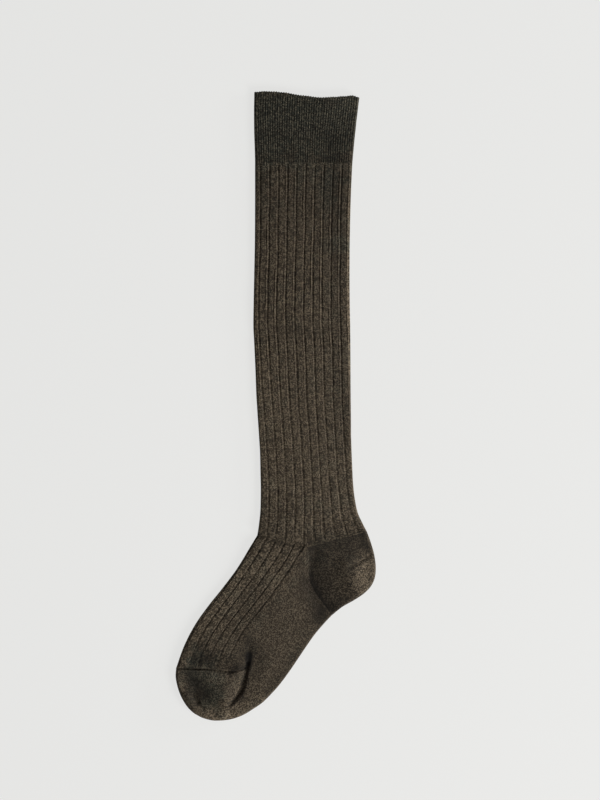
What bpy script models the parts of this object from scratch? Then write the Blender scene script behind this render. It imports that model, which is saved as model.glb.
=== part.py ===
"""A knee-high ribbed sock, laid flat on its side.

The sock is one knitted tube, pressed flat: its upper layer lies on its lower one, and the tube turns
round a fold at the shin (front) and at the calf (back). Its stretches are separate solids, a seam's
width apart: the cuff in fine rib, the leg in broad ribs, the turned heel pocket, the foot (broad ribs
over the instep, plain under the sole) and the turned toe pocket. The mouth of the cuff is open.

X runs from shin to calf, Y up the leg, and Z up from the surface the sock lies on.
"""

import math
from collections import namedtuple

import bmesh
import bpy

MM = 0.001

# Knitting and cloth, in millimetres.
HALF_RIBS = 11  # broad ribs from the front fold to the back fold, so 22 all round
FINE_PER_BROAD = 4  # fine ribs of the cuff over each broad rib
WALL = 1.6  # cloth thickness at the crown of a rib
POCKET_WALL = 2.0  # the heel and the toe are knitted with a second yarn, so thicker
BROAD_FURROW = 0.6  # depth of the furrow between two broad ribs
BROAD_FURROW_WIDTH = 0.24  # furrow's half width, as a share of a rib
FINE_FURROW = 0.4
SEAM_GAP = 0.17  # each piece stops this far short of the seam line
HEEL_POINT = 2.2  # the heel pocket starts this far out from its corner on the side line

# Each row is one course of stitches right round the tube, as it lies: where it crosses the front
# fold, the side line half way between the folds, and the back fold. side_ribs is the number of rib
# widths from the front fold to the side line, turn how many ribs the cloth has turned round the tube,
# edge the thickness of the two layers at the folds, and rise how much more it is at the side line.
Course = namedtuple("Course", "front side back side_ribs turn edge rise")

CUFF_COURSES = (
    Course((-18.8, 271.0), (26.5, 267.4), (72.0, 266.2), 5.5, 0.2, 4.2, 0.9),
    Course((-19.1, 255.0), (25.6, 253.2), (70.4, 252.8), 5.5, 0.2, 4.1, 0.8),
    Course((-18.9, 238.0), (24.9, 237.6), (68.7, 237.4), 5.5, 0.2, 4.0, 0.7),
    Course((-18.4, 222.0), (24.3, 222.0), (67.1, 222.0), 5.5, 0.2, 4.0, 0.6),
    Course((-18.1, 210.0), (24.0, 210.0), (66.0, 210.0), 5.5, 0.2, 4.0, 0.6),
)
LEG_COURSES = (
    Course((-18.1, 210.0), (24.0, 210.0), (66.0, 210.0), 5.5, 0.20, 4.0, 0.6),
    Course((-18.1, 178.0), (23.3, 178.0), (64.6, 178.0), 5.5, 0.22, 4.0, 0.9),
    Course((-18.3, 143.0), (22.8, 143.0), (63.8, 143.0), 5.5, 0.24, 4.0, 1.1),
    Course((-18.9, 110.0), (22.4, 110.0), (63.6, 110.0), 5.5, 0.20, 4.0, 1.2),
    Course((-19.4, 86.0), (22.2, 86.0), (63.8, 86.0), 5.5, 0.21, 4.0, 1.3),
    Course((-19.6, 70.0), (22.2, 70.0), (64.1, 70.0), 5.5, 0.22, 4.0, 1.3),
    Course((-19.2, 60.5), (22.5, 60.5), (64.2, 60.5), 5.5, 0.24, 4.0, 1.3),
    Course((-18.7, 51.0), (22.8, 51.0), (64.3, 51.0), 5.5, 0.26, 4.0, 1.3),
    Course((-17.9, 34.0), (23.3, 34.0), (64.4, 34.0), 5.5, 0.28, 4.0, 1.2),
    Course((-17.0, 10.0), (23.8, 10.0), (64.5, 10.0), 5.5, 0.34, 4.0, 1.2),
    Course((-15.4, -18.0), (24.9, -18.0), (65.0, -18.0), 5.5, 0.45, 4.0, 1.2),
    Course((-13.9, -46.0), (26.0, -46.0), (65.8, -46.0), 5.5, 0.54, 4.0, 1.3),
    Course((-13.3, -70.0), (26.8, -70.5), (66.9, -69.5), 5.5, 0.60, 4.0, 1.4),
    Course((-13.6, -90.0), (27.0, -92.0), (69.8, -89.0), 5.5, 0.60, 4.2, 1.6),
    Course((-14.7, -102.0), (27.2, -108.0), (74.2, -100.0), 5.6, 0.62, 4.4, 1.6),
    Course((-16.1, -111.5), (27.2, -121.8), (78.5, -108.5), 5.6, 0.64, 4.6, 1.5),
)
FOOT_COURSES = (
    Course((-16.1, -111.5), (27.2, -121.8), (48.0, -180.8), 5.6, 0.64, 4.6, 1.5),
    Course((-23.8, -124.2), (17.5, -142.0), (41.8, -187.4), 5.9, 0.72, 4.2, 1.4),
    Course((-34.3, -141.3), (1.5, -166.5), (33.0, -197.8), 6.2, 0.80, 4.0, 1.4),
    Course((-46.3, -157.3), (-9.5, -182.0), (25.2, -209.0), 6.4, 0.86, 4.0, 1.4),
    Course((-58.9, -173.1), (-18.5, -195.5), (17.6, -220.3), 6.6, 0.88, 4.0, 1.6),
    Course((-70.4, -189.6), (-23.5, -207.0), (9.9, -231.5), 6.8, 0.88, 4.2, 1.8),
    Course((-79.6, -207.7), (-25.5, -217.0), (1.6, -242.3), 7.2, 0.88, 4.5, 1.7),
    Course((-86.2, -226.3), (-25.6, -227.0), (-6.8, -251.4), 7.7, 0.88, 4.8, 1.6),
)
TOE_COURSES = (
    Course((-86.2, -226.3), (-25.6, -227.0), (-6.8, -251.4), 7.7, 0.88, 4.8, 1.6),
    Course((-86.6, -233.8), (-29.0, -235.0), (-12.4, -256.2), 7.7, 0.88, 4.9, 1.6),
    Course((-84.9, -242.6), (-34.0, -244.0), (-20.4, -261.5), 7.7, 0.88, 5.0, 1.5),
    Course((-81.6, -251.4), (-40.0, -252.6), (-28.4, -266.2), 7.7, 0.88, 5.0, 1.4),
    Course((-76.8, -259.2), (-46.0, -260.0), (-37.0, -269.5), 7.7, 0.88, 5.0, 1.0),
    Course((-71.2, -264.9), (-52.0, -265.4), (-45.5, -270.9), 7.7, 0.88, 4.9, 0.6),
    Course((-65.2, -268.6), (-57.2, -268.9), (-53.6, -271.2), 7.7, 0.88, 4.8, 0.2),
)
# The heel pocket's courses all start at the side line, where leg and foot meet, and fan round.
HeelCourse = namedtuple("HeelCourse", "back edge rise")
HEEL_CORNER = (27.2, -121.8)
HEEL_COURSES = (
    HeelCourse((78.5, -108.5), 4.6, 1.5),
    HeelCourse((82.0, -118.0), 4.8, 1.3),
    HeelCourse((84.9, -128.5), 5.0, 1.2),
    HeelCourse((86.2, -139.0), 5.2, 1.2),
    HeelCourse((85.4, -148.0), 5.2, 1.2),
    HeelCourse((82.0, -155.6), 5.2, 1.2),
    HeelCourse((75.8, -162.0), 5.1, 1.2),
    HeelCourse((67.5, -167.6), 5.0, 1.3),
    HeelCourse((57.6, -173.3), 4.8, 1.4),
    HeelCourse((48.0, -180.8), 4.6, 1.5),
)

# Soft folds and swells of the upper layer: each runs through its points, lifts the layer by height
# (or sinks it, below zero) and dies away over spread to each side.
Fold = namedtuple("Fold", "height spread points")
FOLDS = (
    Fold(-0.9, 5.0, ((-22.0, 60.5), (66.0, 59.0))),  # where the leg was folded in half
    Fold(0.5, 12.0, ((-14.0, 88.0), (40.0, 92.0))),
    Fold(0.6, 12.0, ((10.0, -20.0), (60.0, -32.0))),
    Fold(-1.2, 4.5, ((-17.0, -113.0), (20.0, -121.0))),  # the bend at the front of the ankle
    Fold(1.3, 15.0, ((63.0, -128.0), (66.0, -146.0))),  # the heel pocket stands full
    Fold(-1.0, 7.0, ((32.0, -128.0), (48.0, -172.0))),  # and sinks where it meets the sole
    Fold(-0.8, 4.0, ((46.0, -134.0), (74.0, -131.0))),  # its mitre
    Fold(1.3, 11.0, ((-60.0, -243.0), (-46.0, -250.0))),  # the toe pocket stands full
    Fold(-2.0, 4.5, ((-25.0, -206.0), (-23.5, -224.0), (-32.0, -247.0), (-40.0, -259.0))),  # its side
    Fold(0.6, 4.0, ((-33.5, -229.0), (-44.0, -256.0))),  # and the ridge beside that
    Fold(-1.0, 2.8, ((-68.5, -252.0), (-64.0, -262.0))),
    Fold(-0.6, 1.6, ((-86.0, -226.4), (-30.0, -229.0))),  # the linked seam over the toes
)

# Colours in linear light, from the yarn: dark brown heather, darker and greyer in the cuff.
YARNS = {
    "cuff": (0.026, 0.025, 0.020),
    "leg": (0.043, 0.034, 0.025),
    "heel": (0.036, 0.030, 0.022),
    "foot": (0.046, 0.037, 0.027),
    "toe": (0.036, 0.031, 0.023),
}
WOOL_ROUGHNESS = 0.9


def blend(table, place):
    """The row at a place along a table, 0 first and 1 last, on a smooth curve through its rows."""
    spot = min(max(place, 0.0), 1.0) * (len(table) - 1)
    index = min(int(spot), len(table) - 2)
    u = spot - index
    rows = [table[min(max(index + k, 0), len(table) - 1)] for k in (-1, 0, 1, 2)]
    weights = (
        (-u + 2 * u * u - u**3) / 2,
        (2 - 5 * u * u + 3 * u**3) / 2,
        (u + 4 * u * u - 3 * u**3) / 2,
        (u**3 - u * u) / 2,
    )

    def mixed(values):
        if isinstance(values[0], tuple):
            return tuple(mixed(column) for column in zip(*values))
        return sum(w * value for w, value in zip(weights, values))

    return type(table[0])(*(mixed(column) for column in zip(*rows)))


def distance_to(x, y, start, end):
    """How far a point of the plan lies from a straight stretch of fold."""
    run_x, run_y = end[0] - start[0], end[1] - start[1]
    share = ((x - start[0]) * run_x + (y - start[1]) * run_y) / (run_x * run_x + run_y * run_y)
    share = min(max(share, 0.0), 1.0)
    return math.hypot(x - start[0] - share * run_x, y - start[1] - share * run_y)


def fold_height(x, y):
    """How far the soft folds lift the upper layer at a point of the plan."""
    lift = 0.0
    for fold in FOLDS:
        stretches = zip(fold.points, fold.points[1:])
        nearest = min(distance_to(x, y, start, end) for start, end in stretches)
        lift += fold.height * math.exp(-((nearest / fold.spread) ** 2))
    return lift


def furrow(ribs, count, half_width):
    """1 at the bottom of the furrow between two ribs, 0 on their crowns; count ribs to a rib width."""
    from_furrow = abs((ribs * count) % 1.0 - 0.5)
    return max(0.0, 1.0 - from_furrow / half_width)


def around(course, ribs):
    """Where a wale lies round the tube: 0 front fold, 1 side line, 2 back fold, below 0 underneath."""
    at = ribs + course.turn
    if at > HALF_RIBS:
        at -= 2 * HALF_RIBS
    if at < -HALF_RIBS:
        at += 2 * HALF_RIBS
    size = abs(at)
    if size <= course.side_ribs:
        lap = size / course.side_ribs
    else:
        lap = 1 + (size - course.side_ribs) / (HALF_RIBS - course.side_ribs)
    return math.copysign(lap, at)


def cloth_point(fold, side, lap, edge, rise, inset, dip):
    """A point of the tube's wall, in millimetres: inset in from its outer face, and sunk by dip.

    fold and side are the fold and the side line that the course runs between, and lap how far round
    from the fold it is, 0 to 1, with a minus sign on the underside."""
    radius = edge / 2
    reach = radius - inset - dip
    run_x, run_y = side[0] - fold[0], side[1] - fold[1]
    length = math.hypot(run_x, run_y)
    quarter = math.pi / 2 * radius
    arc = abs(lap) * (quarter + length - radius)
    angle = min(arc / radius, math.pi / 2)
    inward = radius - reach * math.cos(angle) + max(arc - quarter, 0.0)
    x = fold[0] + run_x / length * inward
    y = fold[1] + run_y / length * inward
    level = math.sin(angle)
    if lap < 0:
        return x, y, radius - (radius - inset) * level
    swell = rise * math.sin(math.pi / 2 * abs(lap)) + fold_height(x, y)
    return x, y, radius + reach * level + swell * level


def wall_point(course, lap, inset, dip):
    """A point of a course of the leg or foot, round the front fold or the back one."""
    if abs(lap) <= 1:
        return cloth_point(course.front, course.side, lap, course.edge, course.rise, inset, dip)
    from_back = math.copysign(2 - abs(lap), lap)
    return cloth_point(course.back, course.side, from_back, course.edge, course.rise, inset, dip)


def ring(course, wales, inset, relief):
    """The points of one course all round the tube.

    relief gives the depth of the furrow at a wale on the upper layer."""
    points = []
    for ribs in wales:
        lap = around(course, ribs)
        dip = relief(ribs, lap) if inset == 0 and lap > 0 else 0.0
        points.append(wall_point(course, lap, inset, dip))
    return points


def drawn_in(points, neighbours, gap):
    """The end course of a piece, drawn back towards the next course, to leave the seam's gap."""
    moved = []
    for point, beside in zip(points, neighbours):
        step = [b - p for p, b in zip(point, beside)]
        length = math.sqrt(sum(s * s for s in step))
        moved.append(tuple(p + s * gap / length for p, s in zip(point, step)))
    return moved


def with_seam_gaps(rings, first, last):
    """A row of courses whose first and last are drawn in where a seam follows."""
    rings = list(rings)
    if first:
        rings[0] = drawn_in(rings[0], rings[1], SEAM_GAP)
    if last:
        rings[-1] = drawn_in(rings[-1], rings[-2], SEAM_GAP)
    return rings


def add_rings(mesh, rings):
    """The points of the rings as vertices, in metres."""
    return [[mesh.verts.new([value * MM for value in point]) for point in ring] for ring in rings]


def skin(mesh, rings, closed=False):
    """Joins rings of equally many points, each to the next, with four-sided faces."""
    pairs = list(zip(rings, rings[1:]))
    if closed:
        pairs.append((rings[-1], rings[0]))
    for ring_a, ring_b in pairs:
        count = len(ring_a)
        for i in range(count):
            j = (i + 1) % count
            mesh.faces.new((ring_a[i], ring_a[j], ring_b[j], ring_b[i]))


def steps(count):
    """Even steps from 0 to 1."""
    return [i / count for i in range(count + 1)]


def make_object(name, mesh):
    """Turns a closed bmesh into a named object with its own yarn."""
    bmesh.ops.recalc_face_normals(mesh, faces=mesh.faces)
    data = bpy.data.meshes.new(name)
    mesh.to_mesh(data)
    mesh.free()
    data.shade_smooth()
    data.set_sharp_from_angle(angle=math.radians(50))
    yarn = bpy.data.materials.new(name + "_wool")
    yarn.use_nodes = True
    shader = yarn.node_tree.nodes["Principled BSDF"]
    shader.inputs["Base Color"].default_value = (*YARNS[name], 1.0)
    shader.inputs["Roughness"].default_value = WOOL_ROUGHNESS
    shader.inputs["Metallic"].default_value = 0.0
    data.materials.append(yarn)
    sock_piece = bpy.data.objects.new(name, data)
    bpy.context.scene.collection.objects.link(sock_piece)
    return sock_piece


def wales_of(top_from, top_to, per_rib):
    """The wales modelled round the tube, in ribs from the front.

    There are per_rib to each rib over the ribbed stretch, and one to each rib elsewhere."""
    ribbed = [top_from + i / per_rib for i in range(round((top_to - top_from) * per_rib))]
    plain_count = 2 * HALF_RIBS - (top_to - top_from)
    plain = [top_to + i for i in range(round(plain_count))]
    return [ribs - 2 * HALF_RIBS if ribs > HALF_RIBS else ribs for ribs in ribbed + plain]


def tube(name, table, wales, relief, rings_a_course, seam_first, seam_last):
    """An open stretch of the tube, as one closed wall: outside, inside, and a rim at each end.

    The plain inside has one ring for each course of the table, and the outside rings_a_course."""
    courses = len(table) - 1
    outside = [ring(blend(table, t), wales, 0, relief) for t in steps(courses * rings_a_course)]
    inside = [ring(blend(table, t), wales, WALL, relief) for t in steps(courses)]
    outside = with_seam_gaps(outside, seam_first, seam_last)
    inside = with_seam_gaps(inside, seam_first, seam_last)
    mesh = bmesh.new()
    skin(mesh, add_rings(mesh, outside + inside[::-1]), closed=True)
    return make_object(name, mesh)


def fine_rib(ribs, lap):
    """Fine 1x1 rib."""
    return FINE_FURROW * furrow(ribs, FINE_PER_BROAD, 0.5)


def broad_rib(ribs, lap):
    """Broad ribs all round."""
    return BROAD_FURROW * furrow(ribs, 1, BROAD_FURROW_WIDTH)


def instep_rib(ribs, lap):
    """Broad ribs over the instep, out to the last one before the side line."""
    last_furrow = 4.5
    if ribs > last_furrow + BROAD_FURROW_WIDTH:
        return 0.0
    return broad_rib(ribs, lap)


def smooth_cloth(ribs, lap):
    """Plain knitting."""
    return 0.0


def make_cuff():
    wales = wales_of(-0.5, 11.5, 2 * FINE_PER_BROAD)
    return tube("cuff", CUFF_COURSES, wales, fine_rib, 1, seam_first=False, seam_last=True)


def make_leg():
    wales = wales_of(-1.0, 11.0, 4)
    return tube("leg", LEG_COURSES, wales, broad_rib, 2, seam_first=True, seam_last=True)


def make_foot():
    wales = wales_of(-1.0, 11.0, 4)
    return tube("foot", FOOT_COURSES, wales, instep_rib, 3, seam_first=True, seam_last=True)


def make_toe():
    """The toe pocket: a tube that closes to a point, with a cap at its end outside and inside."""
    wales = wales_of(-1.0, 11.0, 3)
    inner_end = 0.93
    outside = [ring(blend(TOE_COURSES, t), wales, 0, smooth_cloth) for t in steps(16)]
    inside = [
        ring(blend(TOE_COURSES, t * inner_end), wales, POCKET_WALL, smooth_cloth) for t in steps(9)
    ]
    outside = with_seam_gaps(outside, True, False)
    inside = with_seam_gaps(inside, True, False)
    mesh = bmesh.new()
    rings = add_rings(mesh, inside[::-1] + outside)
    skin(mesh, rings)
    mesh.faces.new(rings[0])
    mesh.faces.new(rings[-1][::-1])
    bmesh.ops.triangulate(mesh, faces=[face for face in mesh.faces if len(face.verts) > 4])
    return make_object("toe", mesh)


def make_heel():
    """The heel pocket: courses that fan from the upper layer round the back fold to the underside."""
    corner_x, corner_y = HEEL_CORNER
    courses = [blend(HEEL_COURSES, t) for t in steps(18)]
    inner_laps = steps(12)

    def path(course, inset):
        length = math.hypot(course.back[0] - corner_x, course.back[1] - corner_y)
        first = 1 - HEEL_POINT / length
        laps = [first * (1 - u) for u in inner_laps] + [-first * u for u in inner_laps[1:]]
        return [
            cloth_point(course.back, HEEL_CORNER, lap, course.edge, course.rise, inset, 0.0)
            for lap in laps
        ]

    outside = with_seam_gaps([path(course, 0) for course in courses], True, True)
    inside = with_seam_gaps([path(course, POCKET_WALL) for course in courses], True, True)
    mesh = bmesh.new()
    rings = add_rings(mesh, [out + inn[::-1] for out, inn in zip(outside, inside)])
    skin(mesh, rings)
    for end in (rings[0], rings[-1]):
        half = len(end) // 2
        outer, inner = end[:half], end[half:][::-1]
        for i in range(half - 1):
            mesh.faces.new((outer[i], outer[i + 1], inner[i + 1], inner[i]))
    return make_object("heel", mesh)


def main():
    for old in list(bpy.data.objects):
        bpy.data.objects.remove(old, do_unlink=True)
    make_cuff()
    make_leg()
    make_heel()
    make_foot()
    make_toe()


main()
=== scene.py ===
"""A knee-high ribbed sock in dark heather wool, laid flat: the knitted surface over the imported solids.

Each stretch of the sock is a shell of cloth. Its grid runs round the tube wale by wale, and along it
up the outside, over the edge and back down the inside. Lengths in the tables are millimetres.
"""

import math
from collections import namedtuple

import bmesh
import bpy
import numpy as np
from bpy.props import FloatProperty, FloatVectorProperty, PointerProperty
from mathutils import Matrix, Vector


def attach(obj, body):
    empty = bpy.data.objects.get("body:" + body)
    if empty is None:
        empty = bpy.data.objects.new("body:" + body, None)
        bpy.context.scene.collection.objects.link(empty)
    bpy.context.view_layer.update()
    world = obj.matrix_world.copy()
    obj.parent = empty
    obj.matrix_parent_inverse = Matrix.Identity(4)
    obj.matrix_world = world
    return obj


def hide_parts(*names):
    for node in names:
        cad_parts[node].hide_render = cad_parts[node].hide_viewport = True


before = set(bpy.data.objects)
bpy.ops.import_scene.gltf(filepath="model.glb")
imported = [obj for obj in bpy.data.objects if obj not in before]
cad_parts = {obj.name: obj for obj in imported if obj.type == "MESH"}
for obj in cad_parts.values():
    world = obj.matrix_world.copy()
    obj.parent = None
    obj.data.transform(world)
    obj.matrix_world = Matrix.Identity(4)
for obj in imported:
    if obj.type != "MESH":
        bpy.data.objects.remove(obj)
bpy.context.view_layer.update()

bl_info = {
    "name": "Ribbed Knee Sock",
    "version": (1, 0, 0),
    "blender": (4, 5, 0),
    "location": "View3D > Sidebar > Sock",
    "description": "Knits a knee-high ribbed sock, laid flat, over its solid frame",
    "category": "Add Mesh",
}

MM = 0.001

# ---------------------------------------------------------------------------------------------
# Sizes of the sock

HALF_RIBS = 11  # broad ribs in each of the two layers
RIB_WIDTH = 7.0
WALES_PER_RIB = 8
SAMPLES_PER_WALE = 4  # columns of the grid for each wale
FINE_PER_BROAD = 4  # fine ribs of the cuff for each broad one
WALL = 1.5  # thickness of the cuff's cloth
HIDDEN_WALL = 1.3  # and of the other cloth, whose edges don't show


def table_of(kind, *rows):
    """A table whose rows have their columns named."""
    return tuple(kind(*row) for row in rows)


# A course of stitches right round the tube: where it crosses the front fold, the side line and the back
# fold, how many rib widths lie between the front fold and the side line, how many ribs the cloth has turned
# round the tube, how thick the sock is at its folds, and how much thicker at the side line.
Course = namedtuple("Course", "front_x front_y side_x side_y back_x back_y side_ribs turn edge rise")

CUFF_COURSES = table_of(
    Course,
    (-18.8, 271, 26.5, 267.4, 72, 266.2, 5.5, 0.2, 4.2, 0.9),
    (-19.1, 255, 25.6, 253.2, 70.4, 252.8, 5.5, 0.2, 4.1, 0.8),
    (-18.9, 238, 24.9, 237.6, 68.7, 237.4, 5.5, 0.2, 4, 0.7),
    (-18.4, 222, 24.3, 222, 67.1, 222, 5.5, 0.2, 4, 0.6),
    (-18.1, 210, 24, 210, 66, 210, 5.5, 0.2, 4, 0.6),
)
LEG_COURSES = table_of(
    Course,
    CUFF_COURSES[-1],
    (-18.1, 178, 23.3, 178, 64.6, 178, 5.5, 0.22, 4, 0.9),
    (-18.3, 143, 22.8, 143, 63.8, 143, 5.5, 0.24, 4, 1.1),
    (-18.9, 110, 22.4, 110, 63.6, 110, 5.5, 0.20, 4, 1.2),
    (-19.4, 86, 22.2, 86, 63.8, 86, 5.5, 0.21, 4, 1.3),
    (-19.6, 70, 22.2, 70, 64.1, 70, 5.5, 0.22, 4, 1.3),
    (-19.2, 60.5, 22.5, 60.5, 64.2, 60.5, 5.5, 0.24, 4, 1.3),
    (-18.7, 51, 22.8, 51, 64.3, 51, 5.5, 0.26, 4, 1.3),
    (-17.9, 34, 23.3, 34, 64.4, 34, 5.5, 0.28, 4, 1.2),
    (-17, 10, 23.8, 10, 64.5, 10, 5.5, 0.34, 4, 1.2),
    (-15.4, -18, 24.9, -18, 65, -18, 5.5, 0.45, 4, 1.2),
    (-13.9, -46, 26, -46, 65.8, -46, 5.5, 0.54, 4, 1.3),
    (-13.3, -70, 26.8, -70.5, 66.9, -69.5, 5.5, 0.60, 4, 1.4),
    (-13.6, -90, 27, -92, 69.8, -89, 5.5, 0.60, 4.2, 1.6),
    (-14.7, -102, 27.2, -108, 74.2, -100, 5.6, 0.62, 4.4, 1.6),
    (-16.1, -111.5, 27.2, -121.8, 78.5, -108.5, 5.6, 0.64, 4.6, 1.5),
)
FOOT_COURSES = table_of(
    Course,
    (-16.1, -111.5, 27.2, -121.8, 48, -180.8, 5.6, 0.64, 4.6, 1.5),
    (-23.8, -124.2, 17.5, -142, 41.8, -187.4, 5.9, 0.72, 4.2, 1.4),
    (-34.3, -141.3, 1.5, -166.5, 33, -197.8, 6.2, 0.80, 4, 1.4),
    (-46.3, -157.3, -9.5, -182, 25.2, -209, 6.4, 0.86, 4, 1.4),
    (-58.9, -173.1, -18.5, -195.5, 17.6, -220.3, 6.6, 0.88, 4, 1.6),
    (-70.4, -189.6, -23.5, -207, 9.9, -231.5, 6.8, 0.88, 4.2, 1.8),
    (-79.6, -207.7, -25.5, -217, 1.6, -242.3, 7.2, 0.88, 4.5, 1.7),
    (-86.2, -226.3, -25.6, -227, -6.8, -251.4, 7.7, 0.88, 4.8, 1.6),
)
TOE_COURSES = table_of(
    Course,
    FOOT_COURSES[-1],
    (-86.6, -233.8, -29, -235, -12.3, -256.5, 7.7, 0.88, 4.9, 1.6),
    (-84.9, -242.6, -34, -244, -20.3, -261.9, 7.7, 0.88, 5, 1.5),
    (-81.6, -251.4, -40, -252.6, -28.4, -266.7, 7.7, 0.88, 5, 1.4),
    (-76.8, -259.2, -46, -260, -37, -269.9, 7.7, 0.875, 5, 1),
    (-71.2, -264.8, -52.4, -265.8, -45.5, -271.3, 7.7, 0.875, 4.9, 0.6),
    (-64.4, -268.8, -58.6, -270.6, -53.4, -271.6, 7.7, 0.875, 4.8, 0.2),
)
HEEL_CORNER = (27.2, -121.8)
HEEL_ROUND = 96.0  # the heel's length along the back fold
HEEL_WALE = 0.82  # and the width of a column of its stitches
PLAIN_FINER = 0.8  # height of a course in heel and toe, and width of the toe's wales, as a share of the leg's
# The heel's courses fan round from the corner: where each crosses the back fold.
HeelCourse = namedtuple("HeelCourse", "back_x back_y edge rise")
HEEL_COURSES = table_of(
    HeelCourse,
    (78.5, -108.5, 4.6, 1.5),
    (82, -118, 4.8, 1.3),
    (84.9, -128.5, 5, 1.2),
    (86.2, -139, 5.2, 1.2),
    (85.4, -148, 5.2, 1.2),
    (82, -155.6, 5.2, 1.2),
    (75.8, -162, 5.1, 1.2),
    (67.5, -167.6, 5, 1.3),
    (57.6, -173.3, 4.8, 1.4),
    (48, -180.8, 4.6, 1.5),
)

# Soft folds and swells of the two layers: each lifts its layer by height (or sinks it, below zero) along
# its points and dies away over spread to each side.
Fold = namedtuple("Fold", "height spread points")
UPPER_FOLDS = table_of(
    Fold,
    # Where the leg was folded in half, and slacker cloth above and below that.
    (-0.9, 5, ((-22, 60.5), (66, 59))),
    (0.5, 12, ((-14, 88), (40, 92))),
    (0.4, 7, ((0, 45), (58, 41))),
    (-0.5, 5, ((-12, -21), (26, -15), (60, -24))),
    (0.6, 12, ((10, -32), (60, -42))),
    (-0.4, 6, ((-18, 128), (30, 134))),
    # The ankle bends at the front.
    (-1.3, 3.2, ((-18, -113), (-8, -115.5), (20, -121.5))),
    (-1.8, 1.5, ((-18, -112.3), (-12.5, -112.8))),
    (0.7, 5, ((-14, -105), (14, -112))),
    (0.6, 6, ((-16, -124), (8, -133))),
    # The heel pocket stands full, and sinks where it meets the sole.
    (3, 9, ((63, -137), (69, -157))),
    (0.8, 7, ((60, -118), (76, -114))),
    (-1.9, 7, ((34, -130), (38, -150), (45, -172))),
    # Its mitre.
    (-0.35, 1.6, ((35, -125.5), (47, -131), (58, -136))),
    (-1, 1.7, ((65.5, -137.4), (71, -134.8), (81, -128.5))),
    (0.7, 2.6, ((68, -140), (82, -133.5))),
    # The toe pocket stands up in a ridge round a hollow, and sinks in a deep crease beside the sole.
    (1.7, 6, ((-32, -228.5), (-37, -232.5), (-42, -240), (-44, -249), (-44, -260))),
    (-0.8, 2.2, ((-22.6, -207), (-24, -220))),
    (-0.7, 7, ((-29, -206), (-31, -219))),
    (-2, 2, ((-24.6, -222), (-26.8, -233.3), (-28.6, -241.5), (-32.2, -248.7), (-40, -257.5))),
    (-1.5, 5, ((-27.5, -226), (-30, -237), (-34, -247))),
    (-1.5, 7, ((-19, -213), (-20.5, -232), (-27, -246))),
    (-1.6, 10, ((-70, -236), (-64, -247))),
    (0.5, 6, ((-53, -237), (-52, -248))),
    (0.9, 4.5, ((-72, -230), (-58, -232), (-47, -233))),
    (-1.5, 5.5, ((-72, -219.5), (-60, -218), (-50, -219))),
    (-0.8, 3, ((-36, -222.5), (-43, -221))),
    (-1.5, 2.3, ((-70.5, -250), (-68, -255))),
    (-0.8, 1.8, ((-68, -255), (-63, -261.5))),
    (1.6, 3.4, ((-77, -250), (-70, -261.5), (-58, -266), (-46, -267.5))),
    # The linked seam over the toes.
    (-1.8, 0.75, ((-88, -226.3), (-60, -227.2), (-38, -229.4), (-30, -227.4), (-27, -226.6))),
)
UNDER_FOLDS = table_of(
    Fold,
    (0.5, 5, ((-22, 59.5), (66, 61))),
    (0.4, 9, ((-10, 150), (50, 158))),
    (0.4, 8, ((0, -40), (60, -28))),
    (0.8, 3.2, ((-18, -113), (18, -122))),
    (0.7, 7, ((34, -130), (46, -172))),
    (0.6, 1.6, ((35, -126), (56, -134), (76, -130))),
    (0.5, 6, ((-40, -170), (-8, -196))),
    (0.9, 3.6, ((-50, -206), (-46, -228), (-52, -250))),
    (0.7, 4, ((-74, -240), (-64, -256))),
    (0.7, 0.9, ((-87, -226.3), (-30, -227.4))),
)
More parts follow.
